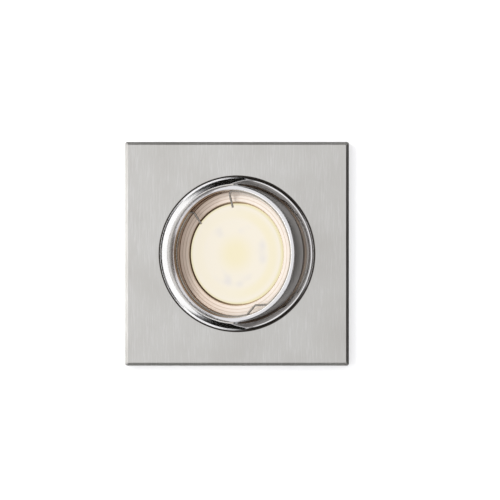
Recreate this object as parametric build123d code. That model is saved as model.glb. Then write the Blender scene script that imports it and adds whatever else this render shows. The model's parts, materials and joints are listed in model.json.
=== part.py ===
from build123d import *
import math
import os

# Square recessed downlight with a tilting ring for a GU10 lamp, in millimetres.
# Z = 0 is the ceiling surface that the plate lies on, and +Z points up into the ceiling.
# The light shines towards -Z. The ring tilts about the Y direction.
# Tilting pieces are drawn straight, with the pivot at their origin, and then turned to the rest tilt.
# Clip pieces are drawn with the hinge pin along X at their origin and the arm along +Y.

# Face plate, a die casting
plate_side = 90.0
plate_thickness = 4.0
plate_skin = 2.2
plate_rim = 3.0
plate_corner_radius = 0.8
plate_edge_chamfer = 1.2
rib_thickness = 2.0
rib_setback = 0.4
collar_wall = 2.5
collar_height = 9.0

# Bezel ring
bezel_wall = 2.05
bezel_fit = 0.1
bezel_lip = 0.4
bezel_lip_gap = 0.55
bezel_seat_depth = 1.6
bezel_edge_round = 0.12
bezel_mouth_angle = 38.0
bezel_stand = 0.9
socket_front = 4.0
socket_clearance = 0.4

# Tilting ring
pivot_z = 2.5
rest_tilt = 24.0
ring_wall = 2.1
ring_front = 5.2
ring_rear = 3.6
rim_round = 0.8
bore_round = 0.8
rear_chamfer = 0.4
lamp_room = 0.5
lamp_seat_width = 0.7
lamp_setback = 4.0

# Pivot pins and friction washers
pivot_pin_radius = 1.5
pivot_pin_clearance = 0.15
pivot_head_radius = 2.7
pivot_head_height = 1.15
pivot_head_round = 0.5
pivot_end_gap = 0.2
spotface_depth = 0.7
spotface_room = 0.4
washer_radius = 3.2
washer_sheet = 0.35
washer_height = 0.55
washer_gap = 0.05

# Wire circlip
circlip_wire = 0.85
circlip_bite = 0.25
circlip_groove_room = 0.075
circlip_land = 0.08
circlip_setback = 1.4
circlip_turn = -115.0
circlip_half_gap = 25.0
circlip_tab_lean = 9.7
circlip_tab_length = 5.0
circlip_bend = 1.5
kink_half_angle = 12.0
kink_slope = 22.0
kink_bend = 0.9

# LED lamp
lamp_radius = 25.0
lamp_body_length = 47.0
lamp_flange = 2.0
lamp_shoulder_gap = 0.4
lamp_cone_start = 4.5
lamp_neck_radius = 14.5
lamp_neck_length = 38.5
fin_count = 20
fin_gap = 2.2
fin_depth = 4.0
fin_start = 18.0
fin_margin = 4.0
lamp_rim_width = 4.1
lamp_groove_depth = 1.4
lamp_groove_width = 0.7
lamp_rim_round = 0.4
lens_gap = 0.2
lens_sheet = 1.2
lens_skirt = 1.2
lens_recess = 0.35
lens_crown = 0.4
light_chamber = 4.5
chamber_floor = 2.0
driver_bore = 9.5
lead_hole_radius = 2.0
led_board_gap = 0.3
led_board_thickness = 1.6
led_ring_radius = 10.5
led_ring_count = 6
led_length = 3.5
led_width = 2.8
led_height = 0.7
board_screw_margin = 1.3
board_screw_radius = 1.1
board_screw_depth = 4.0
screw_head_height = 1.2
driver_sheet = 1.2
driver_width = 17.4
driver_floor_gap = 0.4
driver_slot_depth = 2.0
capacitor_radius = 3.0
capacitor_length = 12.0
choke_width = 6.0
choke_length = 8.0
chip_height = 1.6
chip_width = 4.0

# GU10 base and bayonet pins
base_flange_radius = 13.4
base_flange_height = 2.0
base_radius = 12.2
base_plug_length = 4.0
base_plug_gap = 0.15
bayonet_spacing = 10.0
bayonet_shank_radius = 1.55
bayonet_head_radius = 2.5
bayonet_shank_length = 4.9
bayonet_head_length = 2.1
bayonet_root = 4.0

# Lampholder
holder_radius = 13.5
holder_face_gap = 0.3
holder_web = 3.9
holder_height = 13.2
holder_cover_height = 5.0
holder_edge_round = 1.0
bayonet_turn = 18.0
bayonet_side_gap = 0.4
contact_sheet = 0.5
contact_gap = 0.3
contact_half_width = 1.8
contact_riser_width = 1.2
contact_entry = 1.5
cover_lead_radius = 1.6
cover_lead_reach = 6.0
holder_screw_reach = 9.8
holder_screw_radius = 1.5
holder_screw_head = 2.6
holder_screw_depth = 10.0
screw_slot_width = 0.8
screw_slot_depth = 0.7

# Spring clips, set on one diagonal of the plate
clip_rest_angle = 7.0
clip_stop_gap = 0.3
hinge_setback = 0.4
ear_radius = 2.8
ear_thickness = 2.0
ear_gap = 0.4
clip_pin_radius = 1.1
clip_pin_clearance = 0.15
clip_pin_head_radius = 1.9
clip_pin_head_height = 0.8
arm_sheet = 0.7
arm_length = 26.0
arm_eye_radius = 2.3
arm_flange_end = 19.0
arm_flange_tip = 1.4
arm_web_start = 1.3
arm_tip_round = 3.0
pad_length = 6.0
pad_wall = 1.0
pad_edge_round = 0.6
spring_wire = 0.8
spring_radius = 2.0
spring_turns = 4
spring_pitch = 1.3
spring_leg = 13.0
spring_foot = 3.0
spring_leg_gap = 0.05
spring_side_room = 1.5
clip_azimuths = {"right": -45.0, "left": 135.0}

# Heights and radii that follow from the sizes above
front_z = -plate_thickness
pocket_floor_z = front_z + plate_skin
ring_bore = lamp_radius + lamp_room
ring_radius = ring_bore + ring_wall
socket_radius = math.hypot(ring_radius, max(ring_front, ring_rear)) + socket_clearance
bezel_radius = socket_radius + bezel_wall
bezel_rear_z = collar_height + bezel_stand
lip_radius = bezel_radius + bezel_lip
collar_bore = bezel_radius + bezel_fit
collar_radius = collar_bore + collar_wall
spotface_y = collar_radius - spotface_depth

lens_radius = lamp_radius - lamp_rim_width - lamp_groove_width
led_board_radius = lens_radius - lens_skirt - led_board_gap
board_screw_head = 2 * board_screw_radius
board_screw_reach = led_board_radius - board_screw_head - board_screw_margin
lamp_front_z = lamp_setback - ring_front
lamp_seat_z = lamp_front_z + lamp_flange
lamp_seat_bore = lamp_radius - lamp_seat_width
lamp_shoulder_radius = lamp_seat_bore - lamp_shoulder_gap
lamp_neck_z = lamp_front_z + lamp_neck_length
lamp_base_z = lamp_front_z + lamp_body_length
chamber_floor_z = lamp_front_z + light_chamber
driver_floor_z = chamber_floor_z + chamber_floor
led_board_z = chamber_floor_z - led_board_thickness
circlip_radius = ring_bore + circlip_bite - circlip_wire / 2
circlip_z = circlip_setback - ring_front

bayonet_radius = bayonet_spacing / 2
bayonet_head_z = lamp_base_z + bayonet_shank_length
bayonet_end_z = bayonet_head_z + bayonet_head_length
holder_face_z = lamp_base_z + holder_face_gap
holder_chamber_z = holder_face_z + holder_web
holder_rear_z = holder_face_z + holder_height
holder_top_z = holder_rear_z + holder_cover_height
contact_z = bayonet_end_z + contact_gap
contact_riser_angle = -bayonet_turn - math.degrees((contact_half_width - contact_sheet) / bayonet_radius)

clip_half_width = spring_turns * spring_pitch / 2 + spring_wire / 2 + spring_side_room
arm_half_width = clip_half_width + arm_sheet
ear_inner = arm_half_width + ear_gap
ear_outer = ear_inner + ear_thickness
arm_web_top = -(spring_radius + spring_wire / 2 + spring_leg_gap)
arm_web_bottom = arm_web_top - arm_sheet
hinge_reach = collar_bore + hinge_setback
hinge_slope = math.radians(clip_rest_angle)
hinge_drop = (collar_radius - hinge_reach) * math.tan(hinge_slope)
hinge_z = collar_height + clip_stop_gap - arm_web_bottom / math.cos(hinge_slope) + hinge_drop

# Placements
UP = (Align.CENTER, Align.CENTER, Align.MIN)
tilt_place = Pos(0, 0, pivot_z) * Rot(0, rest_tilt, 0)
clip_places = {
    side: Rot(0, 0, azimuth) * Pos(0, hinge_reach, hinge_z) for side, azimuth in clip_azimuths.items()
}
arm_places = {side: place * Rot(-clip_rest_angle, 0, 0) for side, place in clip_places.items()}


def turned(*lines):
    """Solid of revolution about Z of a closed outline drawn as (radius, height)."""
    outline = Curve() + [line for line in lines]
    return revolve(Plane.XZ * make_face(outline), Axis.Z)


def rod(radius, low, high):
    """Round bar along Z between two heights."""
    return Pos(0, 0, low) * Cylinder(radius, high - low, align=UP)


def rod_y(radius, low, high):
    """Round bar along +Y between two distances from the Z axis."""
    return Rot(-90, 0, 0) * rod(radius, low, high)


def rod_x(radius, half_length):
    """Round bar along X, centred."""
    return Rot(0, 90, 0) * Cylinder(radius, 2 * half_length)


def block(x_range, y_range, z_range):
    """Box between two places on each axis."""
    sizes = [high - low for low, high in (x_range, y_range, z_range)]
    corner = Pos(x_range[0], y_range[0], z_range[0])
    return corner * Box(*sizes, align=(Align.MIN, Align.MIN, Align.MIN))


def both_sides(shape):
    """The shape and its copy, half a turn round Z."""
    return [shape, Rot(0, 0, 180) * shape]


def swept_wire(edges, diameter):
    """Round wire along joined edges."""
    path = Wire([edge for edge in edges])
    section = Plane(origin=path @ 0, z_dir=path % 0) * Circle(diameter / 2)
    return sweep(section, path=path)


def biarc(start, start_tangent, end, end_tangent):
    """Two arcs that join two points and are tangent to the given directions and to each other."""
    chord = end - start
    turn = start_tangent + end_tangent
    a = turn.dot(turn) - 4
    b = -2 * chord.dot(turn)
    reach = (-b - math.sqrt(b * b - 4 * a * chord.dot(chord))) / (2 * a)
    first = start + start_tangent * reach
    second = end - end_tangent * reach
    middle = (first + second) * 0.5
    return [
        TangentArc(start, middle, tangent=start_tangent),
        TangentArc(middle, end, tangent=second - first),
    ]


# Face plate: square front with a rear pocket, diagonal ribs, the collar and two pairs of ears


def clip_ears():
    """One pair of ears round the hinge pin, down to the floor of the plate's pocket."""
    height = hinge_z - pocket_floor_z
    ear = block((ear_inner, ear_outer), (-ear_radius, ear_radius), (-height, 0))
    eye = Pos((ear_inner + ear_outer) / 2, 0, 0) * rod_x(ear_radius, ear_thickness / 2)
    return Compound(both_sides_x(ear + eye))


def both_sides_x(shape):
    """The shape and its mirror image across X = 0."""
    return [shape, mirror(shape, Plane.YZ)]


def make_face_plate():
    chamfer_z = front_z + plate_edge_chamfer
    front_side = plate_side - 2 * plate_edge_chamfer
    outline = RectangleRounded(plate_side, plate_side, plate_corner_radius)
    front_outline = RectangleRounded(front_side, front_side, plate_corner_radius / 2)
    plate = Pos(0, 0, chamfer_z) * extrude(outline, -chamfer_z)
    plate += loft([Pos(0, 0, front_z) * front_outline, Pos(0, 0, chamfer_z) * outline], ruled=True)
    pocket_half = plate_side / 2 - plate_rim
    pocket_span = (-pocket_half, pocket_half)
    plate -= block(pocket_span, pocket_span, (pocket_floor_z, 0))
    rib_end = pocket_half * math.sqrt(2) + rib_thickness / 2
    rib = block(
        (-rib_thickness / 2, rib_thickness / 2),
        (collar_bore, rib_end),
        (pocket_floor_z, -rib_setback),
    )
    plate += [Rot(0, 0, azimuth) * rib for azimuth in (45, 135, 225, 315)]
    plate += rod(collar_radius, pocket_floor_z, collar_height)
    for place in clip_places.values():
        plate += place * clip_ears()
    plate -= rod(collar_bore, front_z, hinge_z + ear_radius)
    plate -= rod(lip_radius + bezel_lip_gap, front_z, front_z + bezel_seat_depth)
    for place in clip_places.values():
        plate -= place * rod_x(clip_pin_radius, ear_outer)
    pivot = Pos(0, 0, pivot_z)
    hole = rod_y(pivot_pin_radius + pivot_pin_clearance, 0, collar_radius)
    spotface = rod_y(washer_radius + spotface_room, spotface_y, collar_radius + spotface_depth)
    plate -= [pivot * cut for cut in both_sides(hole + spotface)]
    return plate


# Bezel: rounded lip in the plate's seat, bulging funnel and the spherical socket round the pivot


def make_bezel_ring():
    rear_radius = math.sqrt(socket_radius**2 - (bezel_rear_z - pivot_z) ** 2)
    throat_radius = math.sqrt(socket_radius**2 - socket_front**2)
    throat = (throat_radius, pivot_z - socket_front)
    edge = (lip_radius, front_z + bezel_edge_round)
    edge_arc = JernArc(edge, (0, -1), bezel_edge_round, -90 - bezel_mouth_angle)
    funnel = TangentArc(edge_arc @ 1, throat, tangent=edge_arc % 1)
    seat_z = front_z + bezel_seat_depth
    rear = (rear_radius, bezel_rear_z)
    ring = turned(
        Polyline(edge, (lip_radius, seat_z), (bezel_radius, seat_z), (bezel_radius, bezel_rear_z), rear),
        ThreePointArc(rear, (socket_radius, pivot_z), throat),
        edge_arc,
        funnel,
    )
    hole = rod_y(pivot_pin_radius + pivot_pin_clearance, 0, collar_radius)
    return ring - [Pos(0, 0, pivot_z) * cut for cut in both_sides(hole)]


# Tilting ring with its lamp seat and circlip groove


def make_tilt_ring():
    groove_radius = circlip_radius + circlip_wire / 2 + circlip_groove_room
    groove_half = circlip_wire / 2 + circlip_groove_room
    outer_round = min(rim_round, 0.5 * ring_wall)
    inner_round = min(bore_round, 0.45 * ring_wall, circlip_setback - groove_half - circlip_land)
    rim_start = (ring_bore, inner_round - ring_front)
    rim_end = (ring_radius, outer_round - ring_front)
    rim_inner = (ring_bore + inner_round, -ring_front)
    rim_outer = (ring_radius - outer_round, -ring_front)
    rim_lines = [
        JernArc(rim_start, (0, -1), inner_round, 90),
        Line(rim_inner, rim_outer),
        JernArc(rim_outer, (1, 0), outer_round, 90),
    ]
    back_line = Polyline(
        rim_end,
        (ring_radius, ring_rear - rear_chamfer),
        (ring_radius - rear_chamfer, ring_rear),
        (lamp_seat_bore, ring_rear),
        (lamp_seat_bore, lamp_seat_z),
        (ring_bore, lamp_seat_z),
        (ring_bore, circlip_z + groove_half),
        (groove_radius, circlip_z + groove_half),
        (groove_radius, circlip_z - groove_half),
        (ring_bore, circlip_z - groove_half),
        rim_start,
    )
    ring = turned(*rim_lines, back_line)
    return ring - both_sides(rod_y(pivot_pin_radius, 0, ring_radius))


def make_pivot_pins():
    head_y = spotface_y + washer_height + washer_gap
    inner_end = ring_bore + pivot_end_gap
    head = rod(pivot_head_radius, head_y, head_y + pivot_head_height)
    head = fillet(head.edges().sort_by(Axis.Z)[-1], pivot_head_round)
    pin = Rot(-90, 0, 0) * (rod(pivot_pin_radius, inner_end, head_y) + head)
    return Compound(both_sides(pin))


def make_friction_washers():
    inner = pivot_pin_radius + pivot_pin_clearance
    lift = washer_height - washer_sheet
    section = Polyline(
        (inner, lift),
        (washer_radius, 0),
        (washer_radius, washer_sheet),
        (inner, washer_height),
        close=True,
    )
    washer = Pos(0, 0, pivot_z) * Rot(-90, 0, 0) * Pos(0, 0, spotface_y) * turned(section)
    return Compound(both_sides(washer))


# Circlip: one bent wire with a gap on +X, finger tabs at the gap and a kink opposite


def heading(angle):
    return Vector(math.cos(math.radians(angle)), math.sin(math.radians(angle)))


def circlip_half():
    """Edges from the kink's apex round the +Y side to the end of the tab."""
    lean = math.radians(kink_slope)
    half = math.radians(kink_half_angle)
    bends_across = kink_bend * (2 * math.sin(lean) + math.sin(half))
    flank = (circlip_radius * math.sin(half) - bends_across) / math.cos(lean)
    bends_out = kink_bend * (1 - 2 * math.cos(lean) + math.cos(half))
    apex_radius = circlip_radius * math.cos(half) - bends_out - flank * math.sin(lean)
    apex = Vector(-apex_radius, 0)
    top_bend = JernArc(apex, (0, 1), kink_bend, kink_slope)
    flank_line = Line(top_bend @ 1, top_bend @ 1 + heading(90 + kink_slope) * flank)
    foot_bend = JernArc(flank_line @ 1, heading(90 + kink_slope), kink_bend, -kink_slope - kink_half_angle)
    hoop_turn = 180 - kink_half_angle - circlip_half_gap
    hoop = JernArc(foot_bend @ 1, heading(90 - kink_half_angle), circlip_radius, -hoop_turn)
    tab_turn = 90 + circlip_half_gap - circlip_tab_lean
    tab_bend = JernArc(hoop @ 1, hoop % 1, circlip_bend, -tab_turn)
    tab = Line(tab_bend @ 1, tab_bend @ 1 + (tab_bend % 1) * circlip_tab_length)
    return [top_bend, flank_line, foot_bend, hoop, tab_bend, tab]


def make_lamp_circlip():
    half = circlip_half()
    wire = swept_wire(half, circlip_wire)
    wire += mirror(wire, Plane.XZ)
    return Pos(0, 0, circlip_z) * Rot(0, 0, circlip_turn) * wire


# LED lamp: finned housing, lens, LED board, driver and base


def cone_radius(height):
    """Radius of the housing's cone at a height behind its shoulder."""
    share = (height - lamp_cone_start) / (lamp_neck_z - lamp_cone_start)
    return lamp_shoulder_radius + (lamp_neck_radius - lamp_shoulder_radius) * share


def make_lamp_housing():
    recess = lens_radius + lens_gap
    rim_inner = lamp_radius - lamp_rim_width
    groove_z = lamp_front_z + lamp_groove_depth
    edge_round = min(lamp_rim_round, 0.6 * lamp_groove_depth)
    body = turned(
        Polyline((recess, groove_z), (rim_inner, groove_z), (rim_inner, lamp_front_z + edge_round)),
        JernArc((rim_inner, lamp_front_z + edge_round), (0, -1), edge_round, 90),
        Polyline(
            (rim_inner + edge_round, lamp_front_z),
            (lamp_radius, lamp_front_z),
            (lamp_radius, lamp_seat_z),
            (lamp_shoulder_radius, lamp_seat_z),
            (lamp_shoulder_radius, lamp_cone_start),
            (lamp_neck_radius, lamp_neck_z),
            (driver_bore, lamp_neck_z),
            (driver_bore, driver_floor_z),
            (lead_hole_radius, driver_floor_z),
            (lead_hole_radius, chamber_floor_z),
            (recess, chamber_floor_z),
            (recess, groove_z),
        ),
    )
    low = lamp_cone_start + fin_start
    high = lamp_neck_z - fin_margin
    groove_face = make_face(
        Polyline(
            (cone_radius(low) - fin_depth, low),
            (lamp_radius, low),
            (lamp_radius, high),
            (cone_radius(high) - fin_depth, high),
            close=True,
        )
    )
    groove = extrude(Plane.XZ * groove_face, fin_gap / 2, both=True)
    body -= [Rot(0, 0, 360 * i / fin_count) * groove for i in range(fin_count)]
    screw_hole = rod(board_screw_radius, chamber_floor_z, chamber_floor_z + board_screw_depth)
    return body - both_sides(Pos(board_screw_reach, 0, 0) * screw_hole)


def make_lamp_lens():
    edge_z = lamp_front_z + lens_recess
    crown_z = edge_z - lens_crown
    inner = lens_radius - lens_skirt
    arc_share = 0.5
    mid = lens_radius * arc_share
    mid_z = edge_z - lens_crown * (1 - arc_share**2)
    return turned(
        ThreePointArc((0, crown_z), (mid, mid_z), (lens_radius, edge_z)),
        Polyline(
            (lens_radius, edge_z),
            (lens_radius, chamber_floor_z),
            (inner, chamber_floor_z),
            (inner, edge_z + lens_sheet),
            (0, edge_z + lens_sheet),
            (0, crown_z),
        ),
    )


def make_led_board():
    board = rod(led_board_radius, led_board_z, chamber_floor_z)
    board -= rod(lead_hole_radius, led_board_z, chamber_floor_z)
    hole = rod(board_screw_radius, led_board_z, chamber_floor_z)
    return board - both_sides(Pos(board_screw_reach, 0, 0) * hole)


def make_led_chips():
    chip = Box(led_length, led_width, led_height, align=UP)
    chip = Pos(led_ring_radius, 0, led_board_z - led_height) * chip
    return Compound([Rot(0, 0, 360 * (i + 0.5) / led_ring_count) * chip for i in range(led_ring_count)])


def make_led_board_screws():
    head = rod(board_screw_head, led_board_z - screw_head_height, led_board_z)
    shank = rod(board_screw_radius, led_board_z, chamber_floor_z + board_screw_depth)
    slot_span = (-board_screw_head, board_screw_head)
    slot_low = led_board_z - screw_head_height
    slot_half = screw_slot_width / 2
    slot = block(slot_span, (-slot_half, slot_half), (slot_low, slot_low + screw_slot_depth))
    return Compound(both_sides(Pos(board_screw_reach, 0, 0) * (head + shank - slot)))


def make_driver_board():
    low = driver_floor_z + driver_floor_gap
    high = lamp_neck_z - base_plug_length + driver_slot_depth
    half = driver_sheet / 2
    return block((-half, half), (-driver_width / 2, driver_width / 2), (low, high))


def make_driver_components():
    face = driver_sheet / 2
    top = lamp_neck_z - base_plug_length - driver_floor_gap
    capacitor = Pos(face + capacitor_radius, -capacitor_radius, 0) * rod(
        capacitor_radius, top - capacitor_length, top
    )
    middle = (driver_floor_z + top) / 2
    choke_half = choke_width / 2
    choke = block((-face - choke_width, -face), (-choke_half, choke_half), (middle - choke_length, middle))
    chip = block((face, face + chip_height), (0, chip_width), (middle - choke_length, middle - chip_width))
    return Compound([capacitor, choke, chip])


def make_lamp_base():
    plug_radius = driver_bore - base_plug_gap
    flange_z = lamp_neck_z + base_flange_height
    base = rod(plug_radius, lamp_neck_z - base_plug_length, lamp_neck_z)
    base += rod(base_flange_radius, lamp_neck_z, flange_z)
    base += rod(base_radius, flange_z, lamp_base_z)
    slot_half = driver_sheet / 2
    slot_low = lamp_neck_z - base_plug_length
    slot_heights = (slot_low, slot_low + driver_slot_depth)
    base -= block((-slot_half, slot_half), (-plug_radius, plug_radius), slot_heights)
    root = rod(bayonet_shank_radius, lamp_base_z - bayonet_root, lamp_base_z)
    return base - both_sides(Pos(0, bayonet_radius, 0) * root)


def make_lamp_pins():
    shank = rod(bayonet_shank_radius, lamp_base_z - bayonet_root, bayonet_head_z)
    head = rod(bayonet_head_radius, bayonet_head_z, bayonet_end_z)
    head = chamfer(head.edges().sort_by(Axis.Z)[-1], bayonet_head_length / 4)
    return Compound(both_sides(Pos(0, bayonet_radius, 0) * (shank + head)))


# Lampholder: ceramic body with keyhole slots, cover, contacts and screws


def arc_slot(half_width, low, high):
    """Slot along the way of a bayonet pin, from its entry to the locked place on +Y."""
    centre_line = CenterArc((0, 0), bayonet_radius, 90 - bayonet_turn, bayonet_turn)
    return Pos(0, 0, low) * extrude(SlotArc(centre_line, 2 * half_width), high - low)


def make_lampholder_body():
    body = rod(holder_radius, holder_face_z, holder_rear_z)
    body = fillet(body.edges().sort_by(Axis.Z)[0], holder_edge_round)
    shank_half = bayonet_shank_radius + bayonet_side_gap
    head_half = bayonet_head_radius + bayonet_side_gap
    narrow = arc_slot(shank_half, holder_face_z, holder_chamber_z)
    chamber = arc_slot(head_half, holder_chamber_z, holder_rear_z)
    entry = Pos(0, bayonet_radius, 0) * rod(head_half, holder_face_z, holder_chamber_z)
    entry = Rot(0, 0, -bayonet_turn) * entry
    body -= both_sides(narrow + chamber + entry)
    screw_hole = rod(holder_screw_radius, holder_top_z - holder_screw_depth, holder_rear_z)
    return body - both_sides(Pos(holder_screw_reach, 0, 0) * screw_hole)


def contact_riser(low, high):
    """Upright strip of a contact, past the end of the pin's travel."""
    half = contact_riser_width / 2
    reach = (bayonet_radius - half, bayonet_radius + half)
    strip = block((-contact_sheet / 2, contact_sheet / 2), reach, (low, high))
    return Rot(0, 0, contact_riser_angle) * strip


def make_lampholder_contacts():
    leaf = arc_slot(contact_half_width, contact_z, contact_z + contact_sheet)
    riser = contact_riser(contact_z, holder_rear_z + contact_entry)
    return Compound(both_sides(leaf + riser))


def make_lampholder_cover():
    cover = rod(holder_radius, holder_rear_z, holder_top_z)
    cover = fillet(cover.edges().sort_by(Axis.Z)[-1], holder_edge_round)
    cover -= both_sides(Pos(0, cover_lead_reach, 0) * rod(cover_lead_radius, holder_rear_z, holder_top_z))
    cover -= both_sides(contact_riser(holder_rear_z, holder_rear_z + contact_entry))
    screw_hole = rod(holder_screw_radius, holder_rear_z, holder_top_z)
    return cover - both_sides(Pos(holder_screw_reach, 0, 0) * screw_hole)


def make_lampholder_screws():
    top = holder_top_z + screw_head_height
    shank = rod(holder_screw_radius, holder_top_z - holder_screw_depth, holder_top_z)
    head = rod(holder_screw_head, holder_top_z, top)
    slot_span = (-holder_screw_head, holder_screw_head)
    slot_half = screw_slot_width / 2
    slot = block(slot_span, (-slot_half, slot_half), (top - screw_slot_depth, top))
    return Compound(both_sides(Pos(holder_screw_reach, 0, 0) * (shank + head - slot)))


# Spring clips: pin, folded arm, torsion spring and rubber sleeve


def make_clip_pin():
    pin = rod_x(clip_pin_radius, ear_outer)
    head_half = clip_pin_head_height / 2
    head = Pos(ear_outer + head_half, 0, 0) * rod_x(clip_pin_head_radius, head_half)
    return pin + both_sides_x(head)


def make_clip_arm():
    eye = rod_x(arm_eye_radius, arm_sheet / 2)
    side = make_face(
        Polyline(
            (arm_web_start, arm_web_bottom),
            (arm_flange_end, arm_web_bottom),
            (arm_flange_end, arm_web_top + arm_flange_tip),
            (0, arm_eye_radius),
            (-arm_eye_radius * math.sin(math.radians(45)), 0),
            close=True,
        )
    )
    flange = extrude(Plane.YZ * side, arm_sheet / 2, both=True)
    flange = (flange + eye) - rod_x(clip_pin_radius + clip_pin_clearance, arm_sheet)
    flange = Pos(clip_half_width + arm_sheet / 2, 0, 0) * flange
    web = block(
        (-arm_half_width, arm_half_width),
        (arm_web_start, arm_length),
        (arm_web_bottom, arm_web_top),
    )
    tip_edges = web.edges().filter_by(Axis.Z).group_by(Axis.Y)[-1]
    web = fillet(tip_edges, arm_tip_round)
    return web + both_sides_x(flange)


def make_clip_pad():
    start = arm_length - pad_length
    half = arm_half_width + pad_wall
    low = arm_web_bottom - pad_wall
    high = arm_web_top + pad_wall
    pad = block((-half, half), (start, arm_length + pad_wall), (low, high))
    tip_edges = pad.edges().filter_by(Axis.Z).group_by(Axis.Y)[-1]
    pad = fillet(tip_edges, arm_tip_round + pad_wall)
    pad = fillet(pad.faces().sort_by(Axis.Z)[0].edges(), min(pad_edge_round, 0.9 * pad_wall))
    return pad - make_clip_arm()


def spring_point(angle):
    """Place and direction on the coil, with the angle counted from the fixed foot at the bottom."""
    turn = math.radians(angle - 90)
    rise = spring_pitch / 360 * angle
    across = rise - spring_pitch * spring_turns / 2
    place = Vector(across, spring_radius * math.cos(turn), spring_radius * math.sin(turn))
    along = Vector(
        spring_pitch / (2 * math.pi),
        -spring_radius * math.sin(turn),
        spring_radius * math.cos(turn),
    )
    return place, along.normalized()


def spring_edges():
    """Straight foot, half-turn biarcs round the pin and the straight leg on the arm."""
    total = 360 * spring_turns - clip_rest_angle
    steps = 2 * spring_turns
    stations = [spring_point(total * i / steps) for i in range(steps + 1)]
    start, start_along = stations[0]
    end, end_along = stations[-1]
    edges = [Line(start - start_along * spring_foot, start)]
    for (place, along), (next_place, next_along) in zip(stations, stations[1:]):
        edges += biarc(place, along, next_place, next_along)
    return edges + [Line(end, end + end_along * spring_leg)]


def print_spring_gap(edges):
    """Least distance between the surfaces of neighbouring turns, measured on points."""
    points = [edge @ (i / 12) for edge in edges for i in range(12)]
    apart = math.pi * spring_radius
    least = math.inf
    travelled = [0.0]
    for first, second in zip(points, points[1:]):
        travelled.append(travelled[-1] + (second - first).length)
    for i, first in enumerate(points):
        for j in range(i + 1, len(points)):
            if travelled[j] - travelled[i] > apart:
                least = min(least, (points[j] - first).length)
    print("least gap between spring turns", round(least - spring_wire, 3), "mm")


def make_clip_spring():
    edges = spring_edges()
    print_spring_gap(edges)
    return swept_wire(edges, spring_wire)


nodes = {
    "face_plate": make_face_plate(),
    "bezel_ring": make_bezel_ring(),
    "friction_washers": make_friction_washers(),
}
tilting = {
    "tilt_ring": make_tilt_ring(),
    "pivot_pins": make_pivot_pins(),
    "lamp_circlip": make_lamp_circlip(),
    "lamp_housing": make_lamp_housing(),
    "lamp_lens": make_lamp_lens(),
    "led_board": make_led_board(),
    "led_chips": make_led_chips(),
    "led_board_screws": make_led_board_screws(),
    "driver_board": make_driver_board(),
    "driver_components": make_driver_components(),
    "lamp_base": make_lamp_base(),
    "lamp_pins": make_lamp_pins(),
    "lampholder_body": make_lampholder_body(),
    "lampholder_cover": make_lampholder_cover(),
    "lampholder_contacts": make_lampholder_contacts(),
    "lampholder_screws": make_lampholder_screws(),
}
for name, shape in tilting.items():
    nodes[name] = tilt_place * shape

clip_pin = make_clip_pin()
clip_arm = make_clip_arm()
clip_pad = make_clip_pad()
clip_spring = make_clip_spring()
nodes["clip_pins"] = Compound([place * clip_pin for place in clip_places.values()])
for side in clip_azimuths:
    nodes["clip_arm_" + side] = arm_places[side] * clip_arm
    nodes["clip_pad_" + side] = arm_places[side] * clip_pad
    nodes["clip_spring_" + side] = clip_places[side] * clip_spring

os.makedirs("parts", exist_ok=True)
for name, shape in nodes.items():
    export_step(shape, f"parts/{name}.step")
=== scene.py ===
# %% [markdown]
# # A square recessed downlight with a tilting lamp
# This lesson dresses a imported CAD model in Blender. The model is the frame: its meshes keep
# their size and place, and everything here adds finishes, light and a camera.
# The frame has the ceiling surface at Z = 0 with +Z up into the ceiling, so the light
# shines towards -Z and the camera stands below and looks up.

# %% Load the frame
import json
import math
import bpy
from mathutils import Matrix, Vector


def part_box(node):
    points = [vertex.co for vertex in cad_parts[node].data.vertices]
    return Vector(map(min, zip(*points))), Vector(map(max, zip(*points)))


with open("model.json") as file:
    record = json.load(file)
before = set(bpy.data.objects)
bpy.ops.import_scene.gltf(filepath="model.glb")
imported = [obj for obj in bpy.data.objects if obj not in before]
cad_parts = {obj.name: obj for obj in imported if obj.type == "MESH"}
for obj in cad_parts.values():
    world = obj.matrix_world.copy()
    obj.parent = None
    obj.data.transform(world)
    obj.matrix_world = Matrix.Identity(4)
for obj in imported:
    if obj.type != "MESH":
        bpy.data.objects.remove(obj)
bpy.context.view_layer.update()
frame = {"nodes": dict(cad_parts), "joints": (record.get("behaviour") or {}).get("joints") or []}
nodes = frame["nodes"]

# %% [markdown]
# ## Sizes from the frame
# Some finishes end on an edge of the metal: where a chamfer starts, where a ring's wall turns into
# its bore, where the lens ends. These places could be typed in, but then they would be wrong as soon
# as the model changes, so they are measured on the frame. The ring tilts about Y, so its reach
# along Y is its true radius, and the axis that the lampholder turns on gives the tilt. Only a few
# thicknesses and gaps, which no box shows, are typed in. Blender works in metres, so a size in
# millimetres is multiplied by one named value.

# %% Sizes
MM = 0.001
plate_skin = 2.2 * MM
plate_chamfer = 1.2 * MM
bezel_gap = 0.55 * MM
ring_wall = 2.1 * MM
groove_width = 0.7 * MM
lamp_before_pivot = 1.2 * MM
plate_low, plate_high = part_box("face_plate")
plate_half = plate_high.x
plate_front = plate_low.z
plate_skin_back = plate_front + plate_skin
chamfer_start = plate_half - plate_chamfer
bezel_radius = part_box("bezel_ring")[1].x
seat_radius = bezel_radius + bezel_gap
ring_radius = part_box("tilt_ring")[1].y
bore_radius = ring_radius - ring_wall
lens_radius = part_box("lamp_lens")[1].y
groove_radius = lens_radius + groove_width
joints = {joint["name"]: joint for joint in frame["joints"]}
pivot = joints["ring_tilt"]["pos_m"]
lamp_face = pivot[2] - lamp_before_pivot
lamp_axis = joints["lampholder_twist"]["axis"]
rest_tilt = math.atan2(lamp_axis[0], lamp_axis[2])
measured = {"plate": plate_half, "bezel": bezel_radius, "ring": ring_radius, "lens": lens_radius}
print("half widths in mm:", {name: round(size / MM, 2) for name, size in measured.items()})
print("rest tilt in degrees:", round(math.degrees(rest_tilt), 2))

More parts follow.
